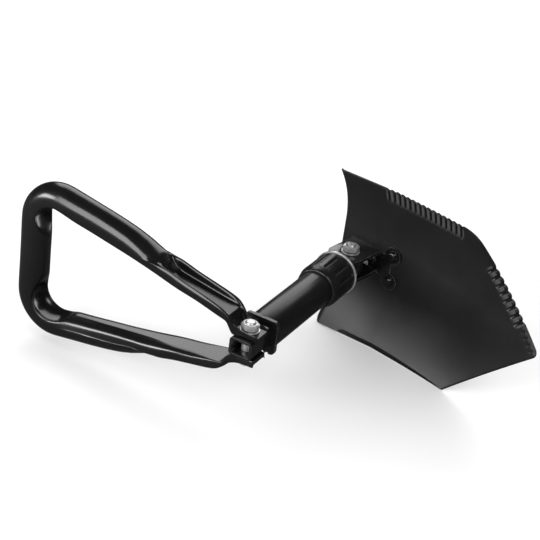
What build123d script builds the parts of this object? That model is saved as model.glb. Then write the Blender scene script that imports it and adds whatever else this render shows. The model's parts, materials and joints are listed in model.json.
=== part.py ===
from build123d import *
from math import cos, radians, sin
import os

# Folding camp shovel, half folded: +X runs along the shaft towards the blade, +Z along both hinge
# pins towards the serrated edge, and the origin is the middle of the shaft's bare length.
# All sizes are in millimetres.

# Where the two hinges stand on the shaft, and how far each is folded at rest (0 is fully open)
BLADE_PIVOT_X = 104.0
HANDLE_PIVOT_X = -62.0
BLADE_FOLD_DEG = 101.5

# Blade: pressed sheet, measured from its pivot towards the tip, and across from the middle
PIVOT_TO_BED = 24.0
SHEET = 2.0
REAR_EDGE = -32.0
SHOULDER = 110.0
TIP = 190.0
HALF_WIDTH = 77.0
DISH_DEPTH = 12.5
FLAT_HALF_WIDTH = 20.0
DISH_START = 50.0
TIP_LIFT = 13.5
TIP_LIFT_POWER = 2.2
REAR_CORNER_LIFT = 8.0
REAR_LIFT_START = 30.0
LIP_START = -24.0
LIP_SHARPNESS = 5.0
TIP_RADIUS = 6.0
PLAIN_CORNER_RADIUS = 2.0
SERRATED_SHOULDER_RADIUS = 30.0
REAR_CORNER_RADIUS = 7.0
SIDE_TEETH = 15
SIDE_TOOTH_PITCH = 5.4
SIDE_TEETH_START = 20.0
TIP_TEETH = 8
TIP_TOOTH_PITCH = 6.8
TIP_TEETH_START = 33.0
GULLET_RADIUS = 1.9
GULLET_OUTSET = 0.4
OUTLINE_REACH = 60.0

# Points that carry the dished sheet, a little past its outline on every side
SHEET_FROM = -40.0
SHEET_STEP_ALONG = 4.0
SHEET_POINTS_ALONG = 60
SHEET_STEP_ACROSS = 6.5
SHEET_POINTS_ACROSS = 27
SHEET_TOLERANCE = 0.02

# Blade bracket: two ears on a riveted base, with three lock flats around the pivot
LOCK_FLAT = 15.5
EAR_CORNER_RADIUS = 7.0
EAR_OUT = 10.8
EAR_THICKNESS = 2.8
BASE_THICKNESS = 2.2
PAINT_GAP = 0.1
RIVET_TOE = 29.0
RIVET_SPREAD = 12.5
RIVET_HEEL = 8.0
RIVET_RADIUS = 3.0
RIVET_HEAD_RADIUS = 4.6
RIVET_HEAD_HEIGHT = 2.9
RIVET_DOME = 2.7
RIVET_TAIL_RADIUS = 4.4
RIVET_TAIL_HEIGHT = 1.6
RIVET_TAIL_ROUND = 1.1
LOBE_RADIUS = 8.0

# Hinge hardware (M8)
BOLT_RADIUS = 4.0
BOLT_HOLE_RADIUS = 4.1
RUNNING_RADIUS = 4.05
HEX_HALF_FLATS = 6.5
HEX_TURNED_RADIUS = 7.3
HEX_CHAMFER = 0.5
BOLT_END_CHAMFER = 0.8
BOLT_HEAD_HEIGHT = 5.3
NUT_HEIGHT = 5.5
BOLT_PROUD = 1.2
WASHER_RADIUS = 8.0
WASHER_THICKNESS = 1.2
SPACER_RADIUS = 7.5
SLEEVE_RADIUS = 5.0
FIT_GAP = 0.05

# Shaft, collar and thrust ring
TUBE_RADIUS = 15.5
TUBE_WALL = 1.5
TUBE_FRONT = 71.0
TUBE_REAR = -41.5
THREAD_RADIUS = 16.9
THREAD_LENGTH = 16.0
THREAD_CHAMFER = 0.5
TONGUE_THICKNESS = 10.0
TONGUE_HALF_HEIGHT = 12.5
PLUG_LENGTH = 26.0
CROSS_PIN_X = 62.0
CROSS_PIN_RADIUS = 3.0
CROSS_PIN_INSET = 0.5
RING_FACE_X = 82.0
RING_THICKNESS = 3.0
RING_RADIUS = 20.0
RING_BORE = 14.5
RING_BEVEL = 0.5
SPIGOT_LENGTH = 3.2
COLLAR_LENGTH = 34.0
COLLAR_RADIUS = 19.3
COLLAR_RIM_RADIUS = 17.9
COLLAR_TAPER = 7.0
COLLAR_BORE = 17.0
COLLAR_LIP_BORE = 15.8
COLLAR_LIP = 4.0
COLLAR_EDGE = 0.8
COLLAR_GROOVES = 12
COLLAR_PHASE_DEG = 7.0
GROOVE_RADIUS = 1.6
GROOVE_OUTSET = 0.2

# Handle yoke and its square plate
PLATE_FRONT = 17.5
PLATE_THICKNESS = 3.0
PLATE_HALF = 15.2
PLATE_CORNER = 4.5
PLATE_NOTCH_RADIUS = 1.3
PLATE_NOTCH_SPACING = 4.2
YOKE_HALF_WIDTH = 10.0
YOKE_HALF = 8.0
YOKE_WALL = 2.0
YOKE_CORNER = 3.0
YOKE_REACH = 12.5

# D-handle: one bent and pressed tube, measured from its pivot along the D and out from its middle
HANDLE_TUBE_RADIUS = 12.0
HANDLE_TUBE_WALL = 1.6
GRIP_DISTANCE = 208.0
CORNER_BEND = 24.0
LEG_INNER_AT_PIVOT = 16.6
LEG_SLOPE = 0.163
LEG_DEPTH = 25.5
FLOOR = 3.4
LEG_START = 16.5
LEG_THICKNESS = [
    (LEG_START, 8.3),
    (35.0, 9.9),
    (60.0, 11.6),
    (80.0, 14.2),
    (92.0, 18.0),
    (104.0, 22.2),
    (116.0, 24.0),
]
HOLLOW_FROM = 104.0
TROUGH_HALF_WIDTH = 8.6
TROUGH_RAMP_START = 66.0
TROUGH_END = 90.0
TAB_INNER = 8.4
TAB_RIM = 14.5
TAB_HALF_DEPTH = 12.0
TAB_FLOOR_HALF = 9.0
TAB_REACH = 11.5
TAB_CORNER = 1.5
TAB_STEP = 9.5
TAB_STEP_END = 13.8
TAB_RIM_END = 9.5
TAB_RIM_TOP = 18.0
TAB_BLANK_LENGTH = 40.0
TAB_BLANK_HEIGHT = 30.0
UNDERCUT_LAND = 0.6
UNDERCUT_RISE = 1.2
TROUGH_STEP_START = 8.2
TROUGH_STEP_END = 12.8
TROUGH_EXIT_RISE = 18.2
TROUGH_CLEARANCE = 48.0
ROUND_SHARE = 0.49
OVERLAP = 0.5

# The blade's own directions: towards its tip, and out of its hollow side
fold = radians(BLADE_FOLD_DEG)
TOWARDS_TIP = Vector(cos(fold), -sin(fold), 0)
HOLLOW_SIDE = Vector(-sin(fold), -cos(fold), 0)
BLADE_PIVOT = Vector(BLADE_PIVOT_X, 0, 0)
HANDLE_PIVOT = Vector(HANDLE_PIVOT_X, 0, 0)

# Local x points to the tip; local y runs across the blade, or out of its hollow side
blade_face = Plane(origin=BLADE_PIVOT - PIVOT_TO_BED * HOLLOW_SIDE, x_dir=TOWARDS_TIP, z_dir=HOLLOW_SIDE)
blade_side = Plane(origin=BLADE_PIVOT, x_dir=TOWARDS_TIP, z_dir=(0, 0, -1))
# Local x points from the handle's pivot to its grip, local y up
handle_face = Plane(origin=HANDLE_PIVOT, x_dir=(0, 1, 0), z_dir=(1, 0, 0))
# Across the handle's tabs: local y up, facing the grip
handle_end = Plane(origin=HANDLE_PIVOT, x_dir=(-1, 0, 0), z_dir=(0, 1, 0))

os.makedirs("parts", exist_ok=True)


def ramp(value, start, end):
    """0 at start, 1 at end, straight between and held beyond."""
    return min(max((value - start) / (end - start), 0.0), 1.0)


def sheet_height(along, across):
    """Height of the blade's hollow side over its flat bed."""
    flat = FLAT_HALF_WIDTH * (1 - ramp(along, DISH_START, TIP))
    rise = max(abs(across) - flat, 0) / (HALF_WIDTH - flat)
    side_depth = DISH_DEPTH + REAR_CORNER_LIFT * ramp(along, REAR_LIFT_START, REAR_EDGE)
    scoop = TIP_LIFT * (max(along - DISH_START, 0) / (TIP - DISH_START)) ** TIP_LIFT_POWER
    lip = max(LIP_START - along, 0) ** 2 / (2 * LIP_SHARPNESS)
    return side_depth * rise**2 + scoop - lip


def blade_sheet():
    """The dished hollow side of the blade, a little larger than its outline."""
    rows = []
    for row_number in range(SHEET_POINTS_ALONG):
        along = SHEET_FROM + SHEET_STEP_ALONG * row_number
        row = []
        for place in range(SHEET_POINTS_ACROSS):
            across = SHEET_STEP_ACROSS * (place - SHEET_POINTS_ACROSS // 2)
            row.append(blade_face.from_local_coords(Vector(along, across, sheet_height(along, across))))
        rows.append(row)
    return Face.make_surface_from_array_of_points(rows, tol=SHEET_TOLERANCE)


def at_height(pivot, height):
    return Plane(origin=pivot + Vector(0, 0, height))


def hexagon(base, height, bore=0.0):
    """A hexagon with its corners turned off, and an optional bore; adds to the part being built."""
    with BuildSketch(base) as flats:
        RegularPolygon(radius=HEX_HALF_FLATS, side_count=6, major_radius=False)
        Circle(HEX_TURNED_RADIUS, mode=Mode.INTERSECT)
        if bore:
            Circle(bore, mode=Mode.SUBTRACT)
    extrude(flats.sketch, amount=height)


def hinge_bolt(pivot, grip_half):
    """A hexagon-head bolt with its head below, gripping grip_half above and below its pivot."""
    head_face = -grip_half - WASHER_THICKNESS
    with BuildPart() as bolt:
        hexagon(at_height(pivot, head_face - BOLT_HEAD_HEIGHT), BOLT_HEAD_HEIGHT)
        chamfer(bolt.faces().sort_by(Axis.Z)[0].edges(), HEX_CHAMFER)
        with BuildSketch(at_height(pivot, head_face)):
            Circle(BOLT_RADIUS)
        extrude(amount=NUT_HEIGHT + BOLT_PROUD - 2 * head_face)
        chamfer(bolt.faces().sort_by(Axis.Z)[-1].edges(), BOLT_END_CHAMFER)
    return bolt


def hinge_nut(pivot, grip_half):
    with BuildPart() as nut:
        hexagon(at_height(pivot, grip_half + WASHER_THICKNESS), NUT_HEIGHT, RUNNING_RADIUS)
        for face in (nut.faces().sort_by(Axis.Z)[-1], nut.faces().sort_by(Axis.Z)[0]):
            chamfer(face.outer_wire().edges(), HEX_CHAMFER)
    return nut


def hinge_washers(pivot, grip_half):
    with BuildPart() as washers:
        for bottom in (grip_half, -grip_half - WASHER_THICKNESS):
            with BuildSketch(at_height(pivot, bottom)):
                Circle(WASHER_RADIUS)
                Circle(BOLT_HOLE_RADIUS, mode=Mode.SUBTRACT)
            extrude(amount=WASHER_THICKNESS)
    return washers


# ---- Blade: dished sheet with a turned-back rear lip, cut to its outline, one side toothed ----

rivet_places = [(RIVET_TOE, RIVET_SPREAD), (RIVET_TOE, -RIVET_SPREAD), (RIVET_HEEL, 0), (-RIVET_HEEL, 0)]
toothed_shoulder = Vector(SHOULDER, HALF_WIDTH)
tip_edge = (Vector(TIP, 0) - toothed_shoulder).normalized()
tip_edge_out = Vector(-tip_edge.Y, tip_edge.X)
side_gullets = [
    (SIDE_TEETH_START + SIDE_TOOTH_PITCH * n, HALF_WIDTH + GULLET_OUTSET) for n in range(SIDE_TEETH)
]
tip_gullets = [
    toothed_shoulder + tip_edge * (TIP_TEETH_START + TIP_TOOTH_PITCH * n) + tip_edge_out * GULLET_OUTSET
    for n in range(TIP_TEETH)
]

with BuildPart() as blade:
    extrude(blade_sheet(), amount=SHEET, dir=-HOLLOW_SIDE)
    with BuildSketch(blade_face) as outline:
        with BuildLine():
            Polyline(
                (REAR_EDGE, -HALF_WIDTH),
                (SHOULDER, -HALF_WIDTH),
                (TIP, 0),
                (SHOULDER, HALF_WIDTH),
                (REAR_EDGE, HALF_WIDTH),
                close=True,
            )
        make_face()
        fillet(outline.vertices().sort_by_distance((TIP, 0))[0], TIP_RADIUS)
        fillet(outline.vertices().sort_by_distance((SHOULDER, HALF_WIDTH))[0], SERRATED_SHOULDER_RADIUS)
        fillet(outline.vertices().sort_by_distance((SHOULDER, -HALF_WIDTH))[0], PLAIN_CORNER_RADIUS)
        fillet(outline.vertices().sort_by_distance((REAR_EDGE, HALF_WIDTH))[0], REAR_CORNER_RADIUS)
        fillet(outline.vertices().sort_by_distance((REAR_EDGE, -HALF_WIDTH))[0], REAR_CORNER_RADIUS)
        with Locations(*side_gullets, *tip_gullets):
            Circle(GULLET_RADIUS, mode=Mode.SUBTRACT)
        with Locations(*rivet_places):
            Circle(RIVET_RADIUS + FIT_GAP, mode=Mode.SUBTRACT)
    extrude(amount=OUTLINE_REACH, both=True, mode=Mode.INTERSECT)
blade.part.label = "blade"
export_step(blade.part, "parts/blade.step")

# ---- Blade bracket: a lobed base on the blade's bed, and two ears with three lock flats ----

with BuildPart() as blade_bracket:
    with BuildSketch(blade_face.offset(PAINT_GAP)) as base:
        with Locations(((RIVET_TOE - LOCK_FLAT) / 2, 0)):
            Rectangle(RIVET_TOE + LOCK_FLAT, 2 * EAR_OUT)
        with Locations(*rivet_places[:2]):
            Circle(LOBE_RADIUS)
        with Locations(*rivet_places):
            Circle(RIVET_RADIUS + FIT_GAP, mode=Mode.SUBTRACT)
    extrude(amount=BASE_THICKNESS)
    for outer_face in (-EAR_OUT, EAR_OUT - EAR_THICKNESS):
        with BuildSketch(blade_side.offset(outer_face)) as ear:
            with BuildLine():
                Polyline(
                    (-LOCK_FLAT, PAINT_GAP - PIVOT_TO_BED),
                    (LOCK_FLAT, PAINT_GAP - PIVOT_TO_BED),
                    (LOCK_FLAT, LOCK_FLAT),
                    (-LOCK_FLAT, LOCK_FLAT),
                    close=True,
                )
            make_face()
            fillet(ear.vertices().group_by(Axis.Y)[-1], EAR_CORNER_RADIUS)
            Circle(BOLT_HOLE_RADIUS, mode=Mode.SUBTRACT)
        extrude(amount=EAR_THICKNESS)
blade_bracket.part.label = "blade_bracket"
export_step(blade_bracket.part, "parts/blade_bracket.step")

# ---- Rivets: domed heads on the base, shanks through the sheet, flatter heads behind it ----

hollow_axis = Axis(BLADE_PIVOT, HOLLOW_SIDE)
with BuildPart() as bracket_rivets:
    with BuildSketch(blade_face.offset(PAINT_GAP + BASE_THICKNESS)):
        with Locations(*rivet_places):
            Circle(RIVET_HEAD_RADIUS)
    extrude(amount=RIVET_HEAD_HEIGHT)
    fillet(bracket_rivets.faces().group_by(hollow_axis)[-1].edges(), RIVET_DOME)
    with BuildSketch(blade_face.offset(-SHEET - FIT_GAP)):
        with Locations(*rivet_places):
            Circle(RIVET_TAIL_RADIUS)
    extrude(amount=-RIVET_TAIL_HEIGHT)
    fillet(bracket_rivets.faces().group_by(hollow_axis)[0].edges(), RIVET_TAIL_ROUND)
    with BuildSketch(blade_face.offset(-SHEET - FIT_GAP)):
        with Locations(*rivet_places):
            Circle(RIVET_RADIUS)
    extrude(amount=SHEET + FIT_GAP + PAINT_GAP + BASE_THICKNESS)
bracket_rivets.part.label = "bracket_rivets"
export_step(bracket_rivets.part, "parts/bracket_rivets.step")

# ---- Blade hinge: bolt through both ears, the spacers and the shaft's tongue ----

blade_hinge_bolt = hinge_bolt(BLADE_PIVOT, EAR_OUT)
blade_hinge_bolt.part.label = "blade_hinge_bolt"
export_step(blade_hinge_bolt.part, "parts/blade_hinge_bolt.step")

blade_hinge_nut = hinge_nut(BLADE_PIVOT, EAR_OUT)
blade_hinge_nut.part.label = "blade_hinge_nut"
export_step(blade_hinge_nut.part, "parts/blade_hinge_nut.step")

blade_hinge_washers = hinge_washers(BLADE_PIVOT, EAR_OUT)
blade_hinge_washers.part.label = "blade_hinge_washers"
export_step(blade_hinge_washers.part, "parts/blade_hinge_washers.step")

spacer_thickness = EAR_OUT - EAR_THICKNESS - TONGUE_THICKNESS / 2 - FIT_GAP
with BuildPart() as hinge_spacers:
    for bottom in (TONGUE_THICKNESS / 2 + FIT_GAP, EAR_THICKNESS - EAR_OUT):
        with BuildSketch(at_height(BLADE_PIVOT, bottom)):
            Circle(SPACER_RADIUS)
            Circle(BOLT_HOLE_RADIUS, mode=Mode.SUBTRACT)
        extrude(amount=spacer_thickness)
hinge_spacers.part.label = "hinge_spacers"
export_step(hinge_spacers.part, "parts/hinge_spacers.step")

# ---- Pivot fitting: a plug in the shaft's end that flattens into the hinge tongue ----

with BuildPart() as pivot_fitting:
    with BuildSketch(Plane.YZ.offset(TUBE_FRONT - PLUG_LENGTH)):
        Circle(TUBE_RADIUS - TUBE_WALL - FIT_GAP)
    extrude(amount=PLUG_LENGTH)
    with BuildSketch(Plane.XY.offset(-TONGUE_THICKNESS / 2)):
        with Locations(((TUBE_FRONT + BLADE_PIVOT_X) / 2, 0)):
            Rectangle(BLADE_PIVOT_X - TUBE_FRONT, 2 * TONGUE_HALF_HEIGHT)
        with Locations((BLADE_PIVOT_X, 0)):
            Circle(TONGUE_HALF_HEIGHT)
            Circle(RUNNING_RADIUS, mode=Mode.SUBTRACT)
    extrude(amount=TONGUE_THICKNESS)
    with BuildSketch(Plane.XY):
        with Locations((CROSS_PIN_X, 0)):
            Circle(CROSS_PIN_RADIUS + FIT_GAP)
    extrude(amount=TUBE_RADIUS, both=True, mode=Mode.SUBTRACT)
pivot_fitting.part.label = "pivot_fitting"
export_step(pivot_fitting.part, "parts/pivot_fitting.step")

with BuildPart() as cross_pin:
    with BuildSketch(Plane.XY):
        with Locations((CROSS_PIN_X, 0)):
            Circle(CROSS_PIN_RADIUS)
    extrude(amount=TUBE_RADIUS - CROSS_PIN_INSET, both=True)
cross_pin.part.label = "cross_pin"
export_step(cross_pin.part, "parts/cross_pin.step")

# ---- Shaft tube, and the threaded bush that the collar runs on ----

with BuildPart() as shaft_tube:
    with BuildSketch(Plane.YZ.offset(TUBE_REAR)):
        Circle(TUBE_RADIUS)
        Circle(TUBE_RADIUS - TUBE_WALL, mode=Mode.SUBTRACT)
    extrude(amount=TUBE_FRONT - TUBE_REAR)
    with BuildSketch(Plane.XY):
        with Locations((CROSS_PIN_X, 0)):
            Circle(CROSS_PIN_RADIUS + FIT_GAP)
    extrude(amount=TUBE_RADIUS, both=True, mode=Mode.SUBTRACT)
shaft_tube.part.label = "shaft_tube"
export_step(shaft_tube.part, "parts/shaft_tube.step")

with BuildPart() as thread_bush:
    with BuildSketch(Plane.YZ.offset(TUBE_FRONT - THREAD_LENGTH)):
        Circle(THREAD_RADIUS)
        Circle(TUBE_RADIUS + FIT_GAP, mode=Mode.SUBTRACT)
    extrude(amount=THREAD_LENGTH)
    chamfer(thread_bush.edges().filter_by(GeomType.CIRCLE).group_by(SortBy.RADIUS)[-1], THREAD_CHAMFER)
thread_bush.part.label = "thread_bush"
export_step(thread_bush.part, "parts/thread_bush.step")

# ---- Lock collar: fluted sleeve, tapered at its handle end ----

collar_front = RING_FACE_X - RING_THICKNESS
collar_rear = collar_front - COLLAR_LENGTH
with BuildPart() as lock_collar:
    with BuildSketch(Plane.XY):
        with BuildLine():
            Polyline(
                (collar_rear, COLLAR_LIP_BORE),
                (collar_rear, COLLAR_RIM_RADIUS - COLLAR_EDGE),
                (collar_rear + COLLAR_EDGE, COLLAR_RIM_RADIUS),
                (collar_rear + COLLAR_TAPER, COLLAR_RADIUS),
                (collar_front - COLLAR_EDGE, COLLAR_RADIUS),
                (collar_front, COLLAR_RADIUS - COLLAR_EDGE),
                (collar_front, COLLAR_BORE),
                (collar_rear + COLLAR_LIP, COLLAR_BORE),
                (collar_rear + COLLAR_LIP, COLLAR_LIP_BORE),
                close=True,
            )
        make_face()
    revolve(axis=Axis.X)
    with BuildSketch(Plane.YZ.offset(collar_rear + COLLAR_TAPER)):
        with PolarLocations(COLLAR_RADIUS + GROOVE_OUTSET, COLLAR_GROOVES, start_angle=COLLAR_PHASE_DEG):
            Circle(GROOVE_RADIUS)
    extrude(amount=COLLAR_LENGTH, mode=Mode.SUBTRACT)
lock_collar.part.label = "lock_collar"
export_step(lock_collar.part, "parts/lock_collar.step")

# ---- Thrust ring: bevelled steel washer with a spigot inside the collar ----

with BuildPart() as thrust_ring:
    with BuildSketch(Plane.XY):
        with BuildLine():
            Polyline(
                (collar_front - SPIGOT_LENGTH, RING_BORE),
                (collar_front - SPIGOT_LENGTH, COLLAR_BORE - 2 * FIT_GAP),
                (collar_front, COLLAR_BORE - 2 * FIT_GAP),
                (collar_front, RING_RADIUS - RING_BEVEL),
                (collar_front + RING_BEVEL, RING_RADIUS),
                (RING_FACE_X - 2 * RING_BEVEL, RING_RADIUS),
                (RING_FACE_X, RING_RADIUS - 2 * RING_BEVEL),
                (RING_FACE_X, RING_BORE),
                close=True,
            )
        make_face()
    revolve(axis=Axis.X)
thrust_ring.part.label = "thrust_ring"
export_step(thrust_ring.part, "parts/thrust_ring.step")

# ---- Square plate on the shaft's rear end, with two small nicks in its lower edge ----

plate_x = HANDLE_PIVOT_X + PLATE_FRONT
with BuildPart() as yoke_plate:
    with BuildSketch(Plane.YZ.offset(plate_x)):
        RectangleRounded(2 * PLATE_HALF, 2 * PLATE_HALF, PLATE_CORNER)
        with Locations((-PLATE_NOTCH_SPACING, -PLATE_HALF), (-2 * PLATE_NOTCH_SPACING, -PLATE_HALF)):
            Circle(PLATE_NOTCH_RADIUS, mode=Mode.SUBTRACT)
    extrude(amount=PLATE_THICKNESS)
yoke_plate.part.label = "yoke_plate"
export_step(yoke_plate.part, "parts/yoke_plate.step")

# ---- Handle yoke: a short flattened tube, open to the rear, with the hinge's cross hole ----

yoke_bore = 2 * (YOKE_HALF - YOKE_WALL)
yoke_bore_width = 2 * (YOKE_HALF_WIDTH - YOKE_WALL)
with BuildPart() as handle_yoke:
    with BuildSketch(Plane.YZ.offset(plate_x)):
        RectangleRounded(2 * YOKE_HALF_WIDTH, 2 * YOKE_HALF, YOKE_CORNER)
        RectangleRounded(yoke_bore_width, yoke_bore, YOKE_CORNER - YOKE_WALL, mode=Mode.SUBTRACT)
    extrude(amount=-PLATE_FRONT - YOKE_REACH)
    with BuildSketch(Plane.XY):
        with Locations((HANDLE_PIVOT_X, 0)):
            Circle(BOLT_HOLE_RADIUS)
    extrude(amount=YOKE_HALF, both=True, mode=Mode.SUBTRACT)
handle_yoke.part.label = "handle_yoke"
export_step(handle_yoke.part, "parts/handle_yoke.step")

with BuildPart() as handle_hinge_sleeve:
    with BuildSketch(at_height(HANDLE_PIVOT, YOKE_WALL - YOKE_HALF + FIT_GAP)):
        Circle(SLEEVE_RADIUS)
        Circle(BOLT_HOLE_RADIUS, mode=Mode.SUBTRACT)
    extrude(amount=yoke_bore - 2 * FIT_GAP)
handle_hinge_sleeve.part.label = "handle_hinge_sleeve"
export_step(handle_hinge_sleeve.part, "parts/handle_hinge_sleeve.step")

# ---- Handle hinge hardware ----

tab_outer = TAB_INNER + FLOOR
handle_hinge_bolt = hinge_bolt(HANDLE_PIVOT, tab_outer)
handle_hinge_bolt.part.label = "handle_hinge_bolt"
export_step(handle_hinge_bolt.part, "parts/handle_hinge_bolt.step")

handle_hinge_nut = hinge_nut(HANDLE_PIVOT, tab_outer)
handle_hinge_nut.part.label = "handle_hinge_nut"
export_step(handle_hinge_nut.part, "parts/handle_hinge_nut.step")

handle_hinge_washers = hinge_washers(HANDLE_PIVOT, tab_outer)
handle_hinge_washers.part.label = "handle_hinge_washers"
export_step(handle_hinge_washers.part, "parts/handle_hinge_washers.step")

# ---- D-handle: round at the grip, pressed into outward-open troughs along both legs ----


def leg_inner(along):
    """How far the leg's inner face stands from the D's middle."""
    return LEG_INNER_AT_PIVOT + LEG_SLOPE * along


def leg_section(along, thickness):
    """A plane across the upper leg, local y outward, centred in its wall."""
    direction = Vector(0, 1, LEG_SLOPE).normalized()
    outward = Vector(0, -direction.Z, direction.Y)
    middle = HANDLE_PIVOT + Vector(0, along, leg_inner(along)) + outward * (thickness / 2)
    return Plane(origin=middle, x_dir=(-1, 0, 0), z_dir=direction)


with BuildPart() as d_handle:
    # Tab block at the pivot, undercut at its sides and squared off behind the pivot
    with BuildSketch(handle_face) as tab:
        with BuildLine():
            Polyline(
                (-TAB_REACH, TAB_INNER),
                (TAB_STEP, TAB_INNER),
                (TAB_STEP_END, leg_inner(TAB_STEP_END)),
                (LEG_START + OVERLAP, leg_inner(LEG_START + OVERLAP)),
                (LEG_START - OVERLAP, leg_inner(LEG_START) + LEG_THICKNESS[0][1]),
                (TAB_RIM_END, TAB_RIM_TOP),
                (-TAB_REACH, TAB_RIM),
                close=True,
            )
        make_face()
    extrude(amount=TAB_HALF_DEPTH, both=True)
    with BuildSketch(handle_end.offset(-TAB_REACH - OVERLAP)):
        for side in (1, -1):
            with BuildLine():
                Polyline(
                    (side * TAB_FLOOR_HALF, TAB_INNER - OVERLAP),
                    (side * (TAB_HALF_DEPTH + OVERLAP), TAB_INNER - OVERLAP),
                    (side * (TAB_HALF_DEPTH + OVERLAP), leg_inner(LEG_START)),
                    (side * (TAB_HALF_DEPTH - UNDERCUT_LAND), leg_inner(LEG_START)),
                    (side * TAB_FLOOR_HALF, TAB_INNER + UNDERCUT_RISE),
                    close=True,
                )
            make_face()
    extrude(amount=TAB_REACH + OVERLAP + LEG_START, mode=Mode.SUBTRACT)
    with BuildSketch(at_height(HANDLE_PIVOT, TAB_INNER)) as tab_plan:
        with Locations((0, TAB_BLANK_LENGTH / 2 - TAB_REACH)):
            Rectangle(2 * TAB_HALF_DEPTH, TAB_BLANK_LENGTH)
        fillet(tab_plan.vertices().group_by(Axis.Y)[0], TAB_CORNER)
    extrude(amount=TAB_BLANK_HEIGHT, mode=Mode.INTERSECT)
    # Pressed leg, thickening from the trough's end into the round tube
    for along, thickness in LEG_THICKNESS:
        with BuildSketch(leg_section(along, thickness)):
            depth = LEG_DEPTH if thickness < 2 * HANDLE_TUBE_RADIUS else 2 * HANDLE_TUBE_RADIUS
            RectangleRounded(depth, thickness, ROUND_SHARE * thickness)
    loft()
    round_from, tube_diameter = LEG_THICKNESS[-1]
    for along, thickness in ((HOLLOW_FROM, LEG_THICKNESS[-2][1]), (round_from, tube_diameter)):
        with BuildSketch(leg_section(along, thickness)):
            inside = thickness - 2 * HANDLE_TUBE_WALL
            RectangleRounded(inside, inside, ROUND_SHARE * inside)
    loft(mode=Mode.SUBTRACT)
    # Trough in the outer wall, over a double-thickness floor
    with BuildSketch(handle_face):
        with BuildLine():
            Polyline(
                (-TAB_REACH - OVERLAP, tab_outer),
                (TROUGH_STEP_START, tab_outer),
                (TROUGH_STEP_END, leg_inner(TROUGH_STEP_END) + FLOOR),
                (TROUGH_RAMP_START, leg_inner(TROUGH_RAMP_START) + FLOOR),
                (TROUGH_END, leg_inner(TROUGH_END) + TROUGH_EXIT_RISE),
                (TROUGH_END, leg_inner(TROUGH_END) + TROUGH_CLEARANCE),
                (-TAB_REACH - OVERLAP, leg_inner(TROUGH_END) + TROUGH_CLEARANCE),
                close=True,
            )
        make_face()
    extrude(amount=TROUGH_HALF_WIDTH, both=True, mode=Mode.SUBTRACT)
    with BuildSketch(at_height(HANDLE_PIVOT, TAB_INNER)):
        Circle(BOLT_HOLE_RADIUS)
    extrude(amount=FLOOR, mode=Mode.SUBTRACT)
    # Round bow from the leg round the corner to the middle of the grip
    leg_end = leg_section(round_from, tube_diameter).origin - HANDLE_PIVOT
    with BuildLine(handle_face) as bow:
        FilletPolyline(
            (leg_end.Y, leg_end.Z),
            (GRIP_DISTANCE, leg_end.Z + LEG_SLOPE * (GRIP_DISTANCE - leg_end.Y)),
            (GRIP_DISTANCE, 0),
            radius=CORNER_BEND,
        )
    with BuildSketch(Plane(origin=bow.line @ 0, z_dir=bow.line % 0)):
        Circle(HANDLE_TUBE_RADIUS)
        Circle(HANDLE_TUBE_RADIUS - HANDLE_TUBE_WALL, mode=Mode.SUBTRACT)
    sweep(path=bow.line)
    mirror(about=Plane.XY)
d_handle.part.label = "d_handle"
export_step(d_handle.part, "parts/d_handle.step")
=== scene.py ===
import json
import math

import bpy
import numpy as np
from mathutils import Matrix, Vector


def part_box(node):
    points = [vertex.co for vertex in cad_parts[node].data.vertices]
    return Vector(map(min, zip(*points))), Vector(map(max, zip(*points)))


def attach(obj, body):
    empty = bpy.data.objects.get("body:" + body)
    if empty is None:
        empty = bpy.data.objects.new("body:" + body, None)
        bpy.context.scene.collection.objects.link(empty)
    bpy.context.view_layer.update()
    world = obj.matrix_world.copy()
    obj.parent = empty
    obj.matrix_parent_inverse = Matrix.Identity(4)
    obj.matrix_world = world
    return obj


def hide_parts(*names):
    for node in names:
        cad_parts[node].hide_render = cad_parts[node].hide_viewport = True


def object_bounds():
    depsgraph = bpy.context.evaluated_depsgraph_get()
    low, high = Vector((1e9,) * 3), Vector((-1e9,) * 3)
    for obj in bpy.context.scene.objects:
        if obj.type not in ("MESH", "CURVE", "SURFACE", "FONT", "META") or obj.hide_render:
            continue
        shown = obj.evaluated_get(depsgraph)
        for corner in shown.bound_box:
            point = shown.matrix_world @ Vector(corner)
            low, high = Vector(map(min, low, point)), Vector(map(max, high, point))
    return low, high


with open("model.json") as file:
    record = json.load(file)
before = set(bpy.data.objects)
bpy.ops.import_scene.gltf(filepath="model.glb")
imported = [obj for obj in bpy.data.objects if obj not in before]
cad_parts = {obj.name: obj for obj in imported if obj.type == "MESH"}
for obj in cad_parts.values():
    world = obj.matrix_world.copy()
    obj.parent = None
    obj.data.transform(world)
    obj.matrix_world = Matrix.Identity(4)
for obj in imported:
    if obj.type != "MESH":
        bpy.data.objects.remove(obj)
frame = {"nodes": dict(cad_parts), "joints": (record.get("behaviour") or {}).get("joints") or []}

# Folding camp shovel: CAD pieces carry the hinges, shaft and bracket; the blade, D-handle, lock collar and
# hexagon hardware are rebuilt here with their pressed, fluted and threaded detail. Sizes are in millimetres
# until place() turns them into the row frame's metres.

cad_low, cad_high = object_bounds()
MM = 0.001
nodes = frame["nodes"]
joints = {joint["name"]: joint for joint in frame["joints"]}
blade_pivot = np.array(joints["blade_fold"]["pos_m"]) / MM
handle_pivot = np.array(joints["handle_fold"]["pos_m"]) / MM
UP = np.array([0.0, 0.0, 1.0])


def smooth(value, start, end):
    """0 at start, 1 at end, with a soft start and finish."""
    t = np.clip((np.asarray(value, float) - start) / (end - start), 0.0, 1.0)
    return t * t * (3 - 2 * t)


def ramp(value, start, end):
    """0 at start, 1 at end, straight between."""
    return np.clip((np.asarray(value, float) - start) / (end - start), 0.0, 1.0)


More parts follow.
